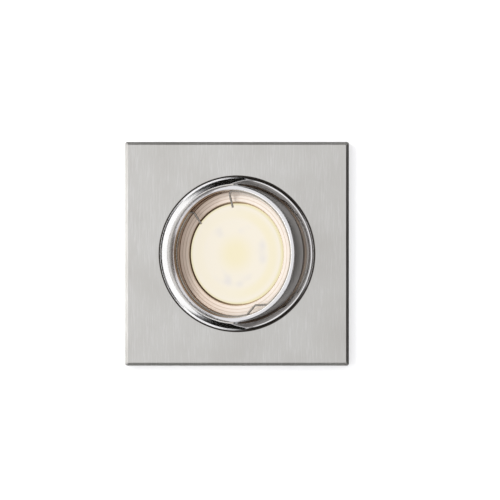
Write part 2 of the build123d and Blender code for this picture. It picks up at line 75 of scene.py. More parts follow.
# %% [markdown]
# ## Colours and helpers
# A colour is given as an sRGB hex value, but shaders add light in linear values, so
# one function converts it. Materials are node trees. They could be drawn by hand in the shader
# editor; in a script, one small function that adds a node, its settings and its links keeps
# each finish readable. Most of the pieces are round, so many finishes ask how far a point is from
# an axis.


# %% Helpers
def linear(hex_colour):
    """Linear RGBA of an sRGB hex colour such as 'c9cac7'."""
    channels = [int(hex_colour[i:i + 2], 16) / 255 for i in (0, 2, 4)]
    steps = [c / 12.92 if c <= 0.04045 else ((c + 0.055) / 1.055) ** 2.4 for c in channels]
    return (*steps, 1.0)


def add(tree, kind, inputs=None, **settings):
    """Adds a node. An input takes a value, or a socket of another node to link."""
    made = tree.nodes.new(kind)
    for name, value in settings.items():
        setattr(made, name, value)
    for name, value in (inputs or {}).items():
        if isinstance(value, bpy.types.NodeSocket):
            tree.links.new(value, made.inputs[name])
        else:
            made.inputs[name].default_value = value
    return made


def empty_finish(name):
    """A material and its node tree, with no node in it."""
    finish = bpy.data.materials.new(name)
    finish.use_nodes = True
    finish.node_tree.nodes.clear()
    return finish, finish.node_tree


def new_finish(name):
    """A material, its node tree and the Principled shader on its output."""
    finish, tree = empty_finish(name)
    shader = add(tree, "ShaderNodeBsdfPrincipled")
    add(tree, "ShaderNodeOutputMaterial", {"Surface": shader.outputs["BSDF"]})
    return finish, tree, shader


def grain_size(millimetres):
    """Noise scale whose features are about that size, because a noise cell is one unit wide."""
    return 1 / (millimetres * MM)


def axis_distance(tree, point):
    """Socket with the distance of a point from the Z axis."""
    flat = add(tree, "ShaderNodeVectorMath", {0: point, 1: (1, 1, 0)}, operation="MULTIPLY")
    length = add(tree, "ShaderNodeVectorMath", {0: flat.outputs["Vector"]}, operation="LENGTH")
    return length.outputs["Value"]


print("a 1 mm grain has the noise scale", grain_size(1))

# %% [markdown]
# ## Brushed nickel on the face plate
# The plate is a zinc die casting, nickel plated and then brushed in one direction with a grit
# belt, which leaves fine parallel lines. A photograph of brushed metal could be mapped on it, but
# stretched noise gives lines at any distance and needs no picture. The lines run along Y. They are
# about 0.1 mm apart on the real plate, which is too fine to show here, so they are drawn 0.5 mm
# wide. The plate is also painted a touch paler towards the upper left, as painted light falling
# from that side.

# %% Brushing lines
line_width_mm = 0.5
line_length_mm = 7
cloud_mm = 22
falloff_dark = 0.99
falloff_pale = 1.07
brushed_nickel, tree, shader = new_finish("brushed nickel plate")
point = add(tree, "ShaderNodeTexCoord").outputs["Object"]
line_scale = (grain_size(line_width_mm), grain_size(line_length_mm), grain_size(line_length_mm))
lines = add(tree, "ShaderNodeMapping", {"Vector": point, "Scale": line_scale})
streaks = add(
    tree,
    "ShaderNodeTexNoise",
    {"Vector": lines.outputs["Vector"], "Scale": 1.0, "Detail": 2.0, "Roughness": 0.6},
)
streak_share = add(
    tree, "ShaderNodeMapRange", {"Value": streaks.outputs["Fac"], "From Min": 0.48, "From Max": 0.82}
)
clouds = add(tree, "ShaderNodeTexNoise", {"Vector": point, "Scale": grain_size(cloud_mm), "Detail": 2.0})
cloud_share = add(
    tree,
    "ShaderNodeMapRange",
    {"Value": clouds.outputs["Fac"], "From Min": 0.3, "From Max": 0.7, "To Min": 0.0, "To Max": 0.5},
)
nickel_tone = add(
    tree,
    "ShaderNodeMix",
    {0: streak_share.outputs["Result"], 6: linear("cfceca"), 7: linear("e1e0de")},
    data_type="RGBA",
)
nickel_cloud = add(
    tree,
    "ShaderNodeMix",
    {0: cloud_share.outputs["Result"], 6: nickel_tone.outputs[2], 7: linear("bdbab4")},
    data_type="RGBA",
)
# Painted light: the colour grows paler towards -X and -Y, the upper left as the camera sees it.
to_upper_left = add(tree, "ShaderNodeVectorMath", {0: point, 1: (-1, -0.75, 0)}, operation="DOT_PRODUCT")
painted_light_falloff = add(
    tree,
    "ShaderNodeMapRange",
    {
        "Value": to_upper_left.outputs["Value"],
        "From Min": -plate_half,
        "From Max": plate_half,
        "To Min": falloff_dark,
        "To Max": falloff_pale,
    },
)
nickel_shaded = add(
    tree,
    "ShaderNodeMix",
    {0: 1.0, 6: nickel_cloud.outputs[2], 7: painted_light_falloff.outputs["Result"]},
    data_type="RGBA",
    blend_type="MULTIPLY",
)
print("made", brushed_nickel.name, "with lines", line_width_mm, "mm wide")

# %% [markdown]
# ## Gloss of the brushing
# The brushed grooves spread a highlight across the lines, which anisotropy does without any real
# groove. The lines also change the gloss a little and stand up by a hair.

# %% Gloss along the lines
line_relief = 0.05 * MM
line_bump = 0.05
streak_gloss = add(
    tree,
    "ShaderNodeMapRange",
    {"Value": streaks.outputs["Fac"], "From Min": 0.3, "From Max": 0.7, "To Min": 0.3, "To Max": 0.42},
)
scratch = add(
    tree,
    "ShaderNodeBump",
    {"Height": streaks.outputs["Fac"], "Strength": line_bump, "Distance": line_relief},
)
along = add(tree, "ShaderNodeTangent", direction_type="RADIAL", axis="X")
shader.inputs["Metallic"].default_value = 1.0
shader.inputs["Anisotropic"].default_value = 0.55
tree.links.new(along.outputs["Tangent"], shader.inputs["Tangent"])
print("anisotropy", round(shader.inputs["Anisotropic"].default_value, 2))

# %% [markdown]
# ## Painted shade in the seat, and the chamfers
# The seat round the bezel is painted dark, as painted shade in the gap between the plate and the
# bezel, so the gap reads as a dark line. The chamfers are broken by hand and are duller than the face,
# the right one less so. Two distances find these places: one from the axis and one from the middle,
# measured square to the plate's sides.

# %% Seat and chamfers
seat_shade_from = seat_radius + 0.06 * MM
seat_shade_full = seat_radius - 0.02 * MM
chamfer_blend = 0.2 * MM
chamfer_roughness = 0.57
right_chamfer_roughness = 0.34
seat_shade_share = add(
    tree,
    "ShaderNodeMapRange",
    {
        "Value": axis_distance(tree, point),
        "From Min": seat_shade_from,
        "From Max": seat_shade_full,
    },
)
# Painted shade: the seat round the bezel is painted dark, standing in for the shade in the gap.
nickel_with_seat_shade = add(
    tree,
    "ShaderNodeMix",
    {0: seat_shade_share.outputs["Result"], 6: nickel_shaded.outputs[2], 7: linear("46413c")},
    data_type="RGBA",
)
parts = add(tree, "ShaderNodeSeparateXYZ", {"Vector": point})
off_x = add(tree, "ShaderNodeMath", {0: parts.outputs["X"]}, operation="ABSOLUTE")
off_y = add(tree, "ShaderNodeMath", {0: parts.outputs["Y"]}, operation="ABSOLUTE")
outward = add(
    tree, "ShaderNodeMath", {0: off_x.outputs["Value"], 1: off_y.outputs["Value"]}, operation="MAXIMUM"
)
chamfer_share = add(
    tree,
    "ShaderNodeMapRange",
    {
        "Value": outward.outputs["Value"],
        "From Min": chamfer_start - chamfer_blend,
        "From Max": chamfer_start + chamfer_blend,
    },
)
chamfer_gloss = add(
    tree,
    "ShaderNodeMapRange",
    {
        "Value": parts.outputs["X"],
        "From Min": chamfer_start - chamfer_blend,
        "From Max": chamfer_start + chamfer_blend,
        "To Min": chamfer_roughness,
        "To Max": right_chamfer_roughness,
    },
)
face_gloss = add(
    tree,
    "ShaderNodeMix",
    {
        0: chamfer_share.outputs["Result"],
        2: streak_gloss.outputs["Result"],
        3: chamfer_gloss.outputs["Result"],
    },
    data_type="FLOAT",
)
print("chamfers start at", round(chamfer_start / MM, 2), "mm from the middle")

# %% [markdown]
# ## Cast skin behind the face
# Behind the face nobody brushes the casting: it keeps the dull, faintly pebbled skin of the mould.
# A second material could do that, but each CAD node takes one, so this one changes with the depth.
# The plate's own edge stays as it is.

# %% Cast skin
pebble_mm = 0.8
pebble_relief = 0.06 * MM
pebble_bump = 0.3
cast_from = plate_skin_back - 0.05 * MM
inside_from = plate_half - 0.02 * MM
inside_full = plate_half - 0.1 * MM
behind_face = add(
    tree,
    "ShaderNodeMapRange",
    {"Value": parts.outputs["Z"], "From Min": cast_from, "From Max": plate_skin_back},
)
inside_edge = add(
    tree,
    "ShaderNodeMapRange",
    {"Value": outward.outputs["Value"], "From Min": inside_from, "From Max": inside_full},
)
cast_share = add(
    tree,
    "ShaderNodeMath",
    {0: behind_face.outputs["Result"], 1: inside_edge.outputs["Result"]},
    operation="MULTIPLY",
)
pebbles = add(
    tree, "ShaderNodeTexNoise", {"Vector": point, "Scale": grain_size(pebble_mm), "Detail": 3.0}
)
cast_tone = add(
    tree,
    "ShaderNodeMix",
    {0: clouds.outputs["Fac"], 6: linear("a9a9a8"), 7: linear("c6c6c3")},
    data_type="RGBA",
)
plate_tone = add(
    tree,
    "ShaderNodeMix",
    {0: cast_share.outputs["Value"], 6: nickel_with_seat_shade.outputs[2], 7: cast_tone.outputs[2]},
    data_type="RGBA",
)
cast_gloss = add(
    tree,
    "ShaderNodeMapRange",
    {"Value": pebbles.outputs["Fac"], "From Min": 0.3, "From Max": 0.7, "To Min": 0.44, "To Max": 0.58},
)
plate_gloss = add(
    tree,
    "ShaderNodeMix",
    {0: cast_share.outputs["Value"], 2: face_gloss.outputs[0], 3: cast_gloss.outputs["Result"]},
    data_type="FLOAT",
)
pebble_strength = add(
    tree, "ShaderNodeMath", {0: cast_share.outputs["Value"], 1: pebble_bump}, operation="MULTIPLY"
)
cast_relief = add(
    tree,
    "ShaderNodeBump",
    {
        "Height": pebbles.outputs["Fac"],
        "Strength": pebble_strength.outputs["Value"],
        "Distance": pebble_relief,
        "Normal": scratch.outputs["Normal"],
    },
)
tree.links.new(plate_tone.outputs[2], shader.inputs["Base Color"])
tree.links.new(plate_gloss.outputs[0], shader.inputs["Roughness"])
tree.links.new(cast_relief.outputs["Normal"], shader.inputs["Normal"])
print("cast skin from", round(plate_skin_back / MM, 2), "mm upwards")

# %% [markdown]
# ## Polished chrome on the bezel and the tilting ring
# Both rings are turned, polished and chrome plated. Chrome is close to a mirror, so nearly all
# of its look comes from what stands round it. A perfect mirror looks like a toy, so faint wiping
# marks vary the roughness a little. The two rings then differ in tone and gloss, so this function
# leaves these to each of them.

# %% Polished chrome
wiping_mm = 6


def polished_chrome(name):
    """Chrome with faint wiping marks: the finish, its tree, its shader and a socket with the gloss."""
    finish, tree, shader = new_finish(name)
    point = add(tree, "ShaderNodeTexCoord").outputs["Object"]
    wiping = add(
        tree, "ShaderNodeTexNoise", {"Vector": point, "Scale": grain_size(wiping_mm), "Detail": 4.0}
    )
    gloss = add(
        tree,
        "ShaderNodeMapRange",
        {"Value": wiping.outputs["Fac"], "From Min": 0.35, "From Max": 0.7, "To Min": 0.07, "To Max": 0.13},
    )
    shader.inputs["Metallic"].default_value = 1.0
    return finish, tree, shader, gloss.outputs["Result"]


chrome, tree, shader, gloss = polished_chrome("polished chrome on a bronze turning")
place = add(tree, "ShaderNodeTexCoord")
point = place.outputs["Object"]
parts = add(tree, "ShaderNodeSeparateXYZ", {"Vector": point})
print("made", chrome.name)

# %% [markdown]
# ## Painted warm shade in the bezel's socket
# On the right the socket is painted a warm brown, as painted shade with a painted warm reflection,
# and that brown shows again wherever the ring mirrors the socket. All of the socket is less
# glossy than the funnel before it.

# %% Painted socket warmth
painted_warmth_mm = 5
socket_roughness = 0.24
socket_mouth = -1.5 * MM
mouth_blend = 0.12 * MM
change_left = -8 * MM
change_right = 4 * MM
socket_share = add(
    tree,
    "ShaderNodeMapRange",
    {
        "Value": parts.outputs["Z"],
        "From Min": socket_mouth - mouth_blend,
        "From Max": socket_mouth + mouth_blend,
    },
)
right_share = add(
    tree,
    "ShaderNodeMapRange",
    {"Value": parts.outputs["X"], "From Min": change_left, "From Max": change_right},
)
# Painted shade and painted warm reflection: the socket is painted brown on the right.
painted_warmth_share = add(
    tree,
    "ShaderNodeMath",
    {0: socket_share.outputs["Result"], 1: right_share.outputs["Result"]},
    operation="MULTIPLY",
)
painted_warmth = add(
    tree, "ShaderNodeTexNoise", {"Vector": point, "Scale": grain_size(painted_warmth_mm), "Detail": 3.0}
)
painted_warmth_tone = add(
    tree,
    "ShaderNodeMix",
    {0: painted_warmth.outputs["Fac"], 6: linear("775c48"), 7: linear("a58768")},
    data_type="RGBA",
)
bezel_tone = add(
    tree,
    "ShaderNodeMix",
    {0: painted_warmth_share.outputs["Value"], 6: linear("f6f5f5"), 7: painted_warmth_tone.outputs[2]},
    data_type="RGBA",
)
bezel_gloss = add(
    tree,
    "ShaderNodeMix",
    {0: socket_share.outputs["Result"], 2: gloss, 3: socket_roughness},
    data_type="FLOAT",
)
tree.links.new(bezel_gloss.outputs[0], shader.inputs["Roughness"])
print("bronze from", round(socket_mouth / MM, 2), "mm upwards")

# %% [markdown]
# ## Painted shade at the bezel's rim
# The corner between the bezel's rim and the plate is painted dark, as painted shade, except on the
# left. At the far right the painted shade fades to 0.4 of its strength.

# %% Painted rim shade
rim_shade_from = bezel_radius - 0.65 * MM
rim_shade_full = bezel_radius - 0.45 * MM
rim_fade_from = 24 * MM
rim_fade_full = 30 * MM
rim_fade_rest = 0.4
rim_share = add(
    tree,
    "ShaderNodeMapRange",
    {
        "Value": axis_distance(tree, point),
        "From Min": rim_shade_from,
        "From Max": rim_shade_full,
    },
)
rim_side = add(
    tree,
    "ShaderNodeMath",
    {0: rim_share.outputs["Result"], 1: right_share.outputs["Result"]},
    operation="MULTIPLY",
)
rim_shade_fade = add(
    tree,
    "ShaderNodeMapRange",
    {
        "Value": parts.outputs["X"],
        "From Min": rim_fade_from,
        "From Max": rim_fade_full,
        "To Min": 1.0,
        "To Max": rim_fade_rest,
    },
)
# Painted shade: dark 2b2723 in the corner between the bezel's rim and the plate.
rim_shade = add(
    tree,
    "ShaderNodeMath",
    {0: rim_side.outputs["Value"], 1: rim_shade_fade.outputs["Result"]},
    operation="MULTIPLY",
)
rim_tone = add(
    tree,
    "ShaderNodeMix",
    {0: rim_shade.outputs["Value"], 6: bezel_tone.outputs[2], 7: linear("2b2723")},
    data_type="RGBA",
)
tree.links.new(rim_tone.outputs[2], shader.inputs["Base Color"])
print("painted rim shade from a radius of", round(rim_shade_from / MM, 2), "mm")

# %% [markdown]
# ## The funnel's polished face
# Polishing has rolled the funnel's face to the front, by about 5 degrees at its top and 14 at its
# mouth, and on the right it has rounded the funnel's outer edge. It hardly shows as a shape, but a
# mirror doubles every angle. So the mesh stays as it is, and only the shading normal leans: a little
# of the way to the front is added to it, and the sum is brought back to a length of one.

# %% Leaning funnel
funnel_top = -3.5 * MM
lean_from = funnel_top - 0.15 * MM
lean_full = funnel_top + 0.1 * MM
left_lean_from = 16 * MM
left_lean_full = 4 * MM
left_lean_top = -0.16
left_lean_mouth = -0.41
right_edge_width = 1.4 * MM
right_lean_edge = -1.7
right_lean_inside = -0.1
behind_rim = add(
    tree,
    "ShaderNodeMapRange",
    {"Value": parts.outputs["Z"], "From Min": lean_from, "From Max": lean_full},
)
before_mouth = add(
    tree, "ShaderNodeMapRange", {"Value": socket_share.outputs["Result"], "To Min": 1.0, "To Max": 0.0}
)
in_funnel = add(
    tree,
    "ShaderNodeMath",
    {0: behind_rim.outputs["Result"], 1: before_mouth.outputs["Result"]},
    operation="MULTIPLY",
)
left_lean = add(
    tree,
    "ShaderNodeMapRange",
    {
        "Value": parts.outputs["Z"],
        "From Min": funnel_top,
        "From Max": socket_mouth,
        "To Min": left_lean_top,
        "To Max": left_lean_mouth,
    },
)
right_lean = add(
    tree,
    "ShaderNodeMapRange",
    {
        "Value": parts.outputs["Z"],
        "From Min": funnel_top,
        "From Max": funnel_top + right_edge_width,
        "To Min": right_lean_edge,
        "To Max": right_lean_inside,
    },
)
left_share = add(
    tree,
    "ShaderNodeMapRange",
    {"Value": parts.outputs["X"], "From Min": left_lean_from, "From Max": left_lean_full},
)
both_leans = add(
    tree,
    "ShaderNodeMix",
    {0: left_share.outputs["Result"], 2: right_lean.outputs["Result"], 3: left_lean.outputs["Result"]},
    data_type="FLOAT",
)
lean = add(
    tree,
    "ShaderNodeMath",
    {0: in_funnel.outputs["Value"], 1: both_leans.outputs[0]},
    operation="MULTIPLY",
)
lean_way = add(tree, "ShaderNodeCombineXYZ", {"Z": lean.outputs["Value"]})
leaning = add(
    tree,
    "ShaderNodeVectorMath",
    {0: place.outputs["Normal"], 1: lean_way.outputs["Vector"]},
    operation="ADD",
)
rolled = add(tree, "ShaderNodeVectorMath", {0: leaning.outputs["Vector"]}, operation="NORMALIZE")
tree.links.new(rolled.outputs["Vector"], shader.inputs["Normal"])
print("the funnel leans from", round(funnel_top / MM, 2), "to", round(socket_mouth / MM, 2), "mm")

# %% [markdown]
# ## The tilting ring's bore
# On the left the ring's bore is painted a warm brown, as a painted reflection of the lens's warm light.
# Close to the lamp it is painted a matt tan there, as painted light from the lens on the wall. The ring
# and the lamp rest tilted, so their patterns are laid in the ring's own frame: the point is turned back
# by the tilt about the pivot, and its distance from the ring's axis then tells the wall from the bore.


# %% Chrome of the bore
def ring_place(tree):
    """Sockets in the tilted ring's frame: distance from its axis, place along it and across it."""
    point = add(tree, "ShaderNodeTexCoord").outputs["Object"]
    turned_back = add(
        tree,
        "ShaderNodeVectorRotate",
        {
            "Vector": point,
            "Center": pivot,
            "Axis": (0, 1, 0),
            "Angle": -rest_tilt,
        },
        rotation_type="AXIS_ANGLE",
    )
    radius = axis_distance(tree, turned_back.outputs["Vector"])
    parts = add(tree, "ShaderNodeSeparateXYZ", {"Vector": turned_back.outputs["Vector"]})
    return radius, parts.outputs["Z"], parts.outputs["X"]


bore_from = bore_radius + 0.75 * MM
bore_full = bore_radius + 0.3 * MM
lens_glow_from = lamp_face - 1.2 * MM
lens_glow_full = lamp_face - 0.4 * MM
ring_chrome, tree, shader, gloss = polished_chrome("chrome with a satin outer wall")
radius, along_axis, across = ring_place(tree)
bore_share = add(
    tree, "ShaderNodeMapRange", {"Value": radius, "From Min": bore_from, "From Max": bore_full}
)
left_bore_side = add(
    tree, "ShaderNodeMapRange", {"Value": across, "From Min": change_right, "From Max": change_left}
)
bore_warm_share = add(
    tree,
    "ShaderNodeMath",
    {0: bore_share.outputs["Result"], 1: left_bore_side.outputs["Result"]},
    operation="MULTIPLY",
)
# Painted reflection: on the left the bore is painted warm brown, for the lens's warm light mirrored there.
bore_warm_tone = add(
    tree,
    "ShaderNodeMix",
    {0: bore_warm_share.outputs["Value"], 6: linear("e6e5e6"), 7: linear("a58f7c")},
    data_type="RGBA",
)
beside_lamp = add(
    tree, "ShaderNodeMapRange", {"Value": along_axis, "From Min": lens_glow_from, "From Max": lens_glow_full}
)
lens_glow_share = add(
    tree,
    "ShaderNodeMath",
    {0: bore_warm_share.outputs["Value"], 1: beside_lamp.outputs["Result"]},
    operation="MULTIPLY",
)
# Painted light: close to the lamp the left bore is a matt tan, for the lens's glow on the wall.
lens_glow_tone = add(
    tree,
    "ShaderNodeMix",
    {0: lens_glow_share.outputs["Value"], 6: bore_warm_tone.outputs[2], 7: linear("dcc4ae")},
    data_type="RGBA",
)
lens_glow_metal = add(
    tree, "ShaderNodeMapRange", {"Value": lens_glow_share.outputs["Value"], "To Min": 1.0, "To Max": 0.0}
)
tree.links.new(lens_glow_metal.outputs["Result"], shader.inputs["Metallic"])
print("made", ring_chrome.name, "with a bore of", round(bore_radius / MM, 2), "mm")

# %% [markdown]
# ## The tilting ring's satin outside
# The ring is polished on its lip, but its outer wall slides in the bezel and is left satin, so it
# looks like a plain dark grey band.

# %% Satin wall
satin_from = ring_radius - 0.25 * MM
satin_full = ring_radius - 0.02 * MM
satin_roughness = 0.42
satin_share = add(
    tree, "ShaderNodeMapRange", {"Value": radius, "From Min": satin_from, "From Max": satin_full}
)
wall_tone = add(
    tree,
    "ShaderNodeMix",
    {0: satin_share.outputs["Result"], 6: lens_glow_tone.outputs[2], 7: linear("9b9895")},
    data_type="RGBA",
)
wall_gloss = add(
    tree,
    "ShaderNodeMix",
    {0: satin_share.outputs["Result"], 2: gloss, 3: satin_roughness},
    data_type="FLOAT",
)
tree.links.new(wall_tone.outputs[2], shader.inputs["Base Color"])
tree.links.new(wall_gloss.outputs[0], shader.inputs["Roughness"])
print("satin from a radius of", round(satin_from / MM, 2), "mm")

# %% [markdown]
# ## Other metals
# The circlip and the torsion springs are bright drawn spring steel, the clip arms are pressed from
# rolled strip, and the pins and screws are zinc plated. They differ in tone, in gloss and in the
# size of their grain, so one function mixes two tones by a noise and takes those three as values.
# Pits or scratches could be modelled, but at this size only the change of gloss shows.

# %% Plated and drawn metals
metal_relief = 0.05 * MM


def metal(name, dark, light, grain_mm, gloss, bump=0.0):
    """Metal of two tones with a cloudy grain and a range of roughness."""
    finish, tree, shader = new_finish(name)
    point = add(tree, "ShaderNodeTexCoord").outputs["Object"]
    grain = add(
        tree,
        "ShaderNodeTexNoise",
        {"Vector": point, "Scale": grain_size(grain_mm), "Detail": 4.0, "Roughness": 0.6},
    )
    tone = add(
        tree,
        "ShaderNodeMix",
        {0: grain.outputs["Fac"], 6: linear(dark), 7: linear(light)},
        data_type="RGBA",
    )
    low, high = gloss
    polish = add(
        tree,
        "ShaderNodeMapRange",
        {"Value": grain.outputs["Fac"], "From Min": 0.3, "From Max": 0.7, "To Min": low, "To Max": high},
    )
    relief = add(
        tree,
        "ShaderNodeBump",
        {"Height": grain.outputs["Fac"], "Strength": bump, "Distance": metal_relief},
    )
    shader.inputs["Metallic"].default_value = 1.0
    tree.links.new(tone.outputs[2], shader.inputs["Base Color"])
    tree.links.new(polish.outputs["Result"], shader.inputs["Roughness"])
    tree.links.new(relief.outputs["Normal"], shader.inputs["Normal"])
    return finish


spring_wire = metal("bright drawn spring steel wire", "8f8982", "aaa59e", 0.5, (0.2, 0.32))
spring_strip = metal("rolled spring steel strip", "a3a19d", "c4c2be", 3.0, (0.24, 0.4), bump=0.1)
zinc = metal("clear passivated zinc plate on steel", "b3b8c2", "d2d2cb", 4.0, (0.25, 0.42), bump=0.1)
nickel_pin = metal("nickel plated brass", "c3bba9", "ddd6c6", 2.0, (0.18, 0.3))
contact_brass = metal("stamped contact brass", "b48d45", "d6b36a", 2.5, (0.25, 0.4), bump=0.1)
print("made", [m.name for m in (spring_wire, spring_strip, zinc, nickel_pin, contact_brass)])

# %% [markdown]
# ## Plastics, ceramic and rubber
# The lamp's housing is moulded in a white thermoplastic that carries heat, its base is the same
# in a glossier grade, and the lampholder is unglazed steatite with a dry, faintly speckled face.
# The sleeves on the clips are soft silicone. A non-metal shows its own colour first, so the grain
# changes gloss and relief, and wide patches change the colour. The real grain of a spark-eroded mould
# is about 0.1 mm; it is drawn coarser, because it would vanish.

# %% Moulded and fired finishes
patch_mm = 14
moulded_relief = 0.04 * MM


def moulded(name, dark, light, grain_mm, gloss, bump, ior=1.5):
    """Non-metal of two close tones with a fine relief."""
    finish, tree, shader = new_finish(name)
    point = add(tree, "ShaderNodeTexCoord").outputs["Object"]
    grain = add(
        tree, "ShaderNodeTexNoise", {"Vector": point, "Scale": grain_size(grain_mm), "Detail": 3.0}
    )
    patches = add(
        tree, "ShaderNodeTexNoise", {"Vector": point, "Scale": grain_size(patch_mm), "Detail": 2.0}
    )
    tone = add(
        tree,
        "ShaderNodeMix",
        {0: patches.outputs["Fac"], 6: linear(dark), 7: linear(light)},
        data_type="RGBA",
    )
    low, high = gloss
    sheen = add(
        tree,
        "ShaderNodeMapRange",
        {"Value": grain.outputs["Fac"], "From Min": 0.3, "From Max": 0.7, "To Min": low, "To Max": high},
    )
    relief = add(
        tree,
        "ShaderNodeBump",
        {"Height": grain.outputs["Fac"], "Strength": bump, "Distance": moulded_relief},
    )
    shader.inputs["IOR"].default_value = ior
    tree.links.new(tone.outputs[2], shader.inputs["Base Color"])
    tree.links.new(sheen.outputs["Result"], shader.inputs["Roughness"])
    tree.links.new(relief.outputs["Normal"], shader.inputs["Normal"])
    return finish


lamp_plastic = moulded("moulded white lamp plastic", "e4e1da", "edeae4", 0.3, (0.34, 0.46), 0.12)
base_plastic = moulded("glossy moulded base plastic", "dfdcd4", "ebe8e1", 0.4, (0.22, 0.32), 0.06)
steatite = moulded("pressed unglazed steatite", "d8d0bf", "e6dfd1", 0.5, (0.5, 0.66), 0.3, ior=1.55)
silicone = moulded("soft silicone rubber", "bdbcb6", "cfcec9", 0.8, (0.5, 0.62), 0.15, ior=1.41)
solder_mask = moulded("green solder mask on glass board", "14512c", "1d6a3a", 1.0, (0.25, 0.4), 0.1)
white_mask = moulded("white solder mask on aluminium board", "dcdcd8", "eeeeea", 1.0, (0.3, 0.45), 0.08)
black_resin = moulded("black moulded component resin", "141416", "242427", 0.4, (0.4, 0.6), 0.2)
phosphor = moulded("yellow phosphor in an LED package", "d8b53a", "ecd05c", 0.4, (0.3, 0.45), 0.05, ior=1.41)
print("made", [m.name for m in (lamp_plastic, base_plastic, steatite, silicone)])
print("made", [m.name for m in (solder_mask, white_mask, black_resin, phosphor)])

# %% [markdown]
# ## The lamp's face
# The housing is white, but its face is painted warm, as painted light from the lens, a little more
# on the left. The face carries fine concentric mould steps about 1.3 mm apart, drawn here as tan lines
# that follow a sine of the distance from the lamp's axis, and the lines are painted darker on the left
# too, as painted shade.

# %% Painted warm light on the face, and mould steps
face_depth = 1.6 * MM
face_blend = 0.1 * MM
step_width = 1.3 * MM
step_strength = 0.55
warm_left = -14 * MM
warm_right = 6 * MM
tree = lamp_plastic.node_tree
shader = next(n for n in tree.nodes if n.type == "BSDF_PRINCIPLED")
plain_tone = shader.inputs["Base Color"].links[0].from_socket
radius, along_axis, across = ring_place(tree)
near_face = add(
    tree,
    "ShaderNodeMapRange",
    {
        "Value": along_axis,
        "From Min": lamp_face + face_depth + face_blend,
        "From Max": lamp_face + face_depth - face_blend,
    },
)
to_right = add(
    tree,
    "ShaderNodeMapRange",
    {"Value": across, "From Min": warm_left, "From Max": warm_right},
    interpolation_type="SMOOTHSTEP",
)
# Painted light: the face is painted warm, for light from the lens, a little warmer on the left.
face_light_tone = add(
    tree,
    "ShaderNodeMix",
    {0: to_right.outputs["Result"], 6: linear("eedccc"), 7: linear("eadfd3")},
    data_type="RGBA",
)
face_lit_tone = add(
    tree,
    "ShaderNodeMix",
    {0: near_face.outputs["Result"], 6: plain_tone, 7: face_light_tone.outputs[2]},
    data_type="RGBA",
)
step_turn = add(tree, "ShaderNodeMath", {0: radius, 1: 2 * math.pi / step_width}, operation="MULTIPLY")
step_wave = add(tree, "ShaderNodeMath", {0: step_turn.outputs["Value"]}, operation="SINE")
step_line = add(
    tree,
    "ShaderNodeMapRange",
    {"Value": step_wave.outputs["Value"], "From Min": 0.5, "From Max": 1.0, "To Max": step_strength},
)
face_line = add(
    tree,
    "ShaderNodeMath",
    {0: step_line.outputs["Result"], 1: near_face.outputs["Result"]},
    operation="MULTIPLY",
)
# Painted shade: the mould step lines are painted darker on the left.
step_shade_tone = add(
    tree,
    "ShaderNodeMix",
    {0: to_right.outputs["Result"], 6: linear("a98b6d"), 7: linear("c2a98f")},
    data_type="RGBA",
)
face_tone = add(
    tree,
    "ShaderNodeMix",
    {0: face_line.outputs["Value"], 6: face_lit_tone.outputs[2], 7: step_shade_tone.outputs[2]},
    data_type="RGBA",
)
print("mould steps of", round(step_width / MM, 2), "mm on", lamp_plastic.name)

# %% [markdown]
# ## The groove round the lens
# The lens sits in a groove, and the groove's walls are painted dark, as painted shade. Two ranges
# find them: the distance from the axis, and the depth behind the lamp's face. The painted shade is
# dark brown on the left and a light tan on the right.

# %% Painted shade in the groove
groove_from = groove_radius + 0.08 * MM
groove_full = groove_radius + 0.02 * MM
in_groove = add(
    tree, "ShaderNodeMapRange", {"Value": radius, "From Min": groove_from, "From Max": groove_full}
)
shaded = add(
    tree,
    "ShaderNodeMath",
    {0: in_groove.outputs["Result"], 1: near_face.outputs["Result"]},
    operation="MULTIPLY",
)
# Painted shade: the groove walls are painted dark brown on the left and tan on the right.
groove_shade_tone = add(
    tree,
    "ShaderNodeMix",
    {0: to_right.outputs["Result"], 6: linear("4e3520"), 7: linear("b89f80")},
    data_type="RGBA",
)
groove_shaded_tone = add(
    tree,
    "ShaderNodeMix",
    {0: shaded.outputs["Value"], 6: face_tone.outputs[2], 7: groove_shade_tone.outputs[2]},
    data_type="RGBA",
)
tree.links.new(groove_shaded_tone.outputs[2], shader.inputs["Base Color"])
print("sealed groove in", lamp_plastic.name)

# %% [markdown]
# ## The lit lens
# The lens is opal polycarbonate with the LEDs shining behind it. They could be left to light it
# through the plastic, but that is slow and noisy, so here the lens sends out its own light. Opal
# plastic scatters the light well but not evenly: the lens glows cream, and its colour follows the
# distance from the lamp's axis. It is yellower in the middle and on a ring near the edge, which shows
# more on the right.

# %% Yellow pools
pool_from = 10 * MM
pool_full = 2 * MM
bright_ring = 16.2 * MM
bright_from = 3.2 * MM
bright_full = 0.5 * MM
ring_left = -6 * MM
ring_right = 12 * MM
left_ring_share = 0.2
right_ring_share = 0.7
opal_lens, tree, shader = new_finish("lit opal polycarbonate lens")
radius, _, across = ring_place(tree)
middle_pool = add(
    tree,
    "ShaderNodeMapRange",
    {"Value": radius, "From Min": pool_from, "From Max": pool_full},
    interpolation_type="SMOOTHSTEP",
)
off_bright = add(tree, "ShaderNodeMath", {0: radius, 1: bright_ring}, operation="SUBTRACT")
off_bright_size = add(tree, "ShaderNodeMath", {0: off_bright.outputs["Value"]}, operation="ABSOLUTE")
ring_pool = add(
    tree,
    "ShaderNodeMapRange",
    {"Value": off_bright_size.outputs["Value"], "From Min": bright_from, "From Max": bright_full},
    interpolation_type="SMOOTHSTEP",
)
ring_side = add(
    tree,
    "ShaderNodeMapRange",
    {
        "Value": across,
        "From Min": ring_left,
        "From Max": ring_right,
        "To Min": left_ring_share,
        "To Max": right_ring_share,
    },
    interpolation_type="SMOOTHSTEP",
)
ring_part = add(
    tree,
    "ShaderNodeMath",
    {0: ring_pool.outputs["Result"], 1: ring_side.outputs["Result"]},
    operation="MULTIPLY",
)
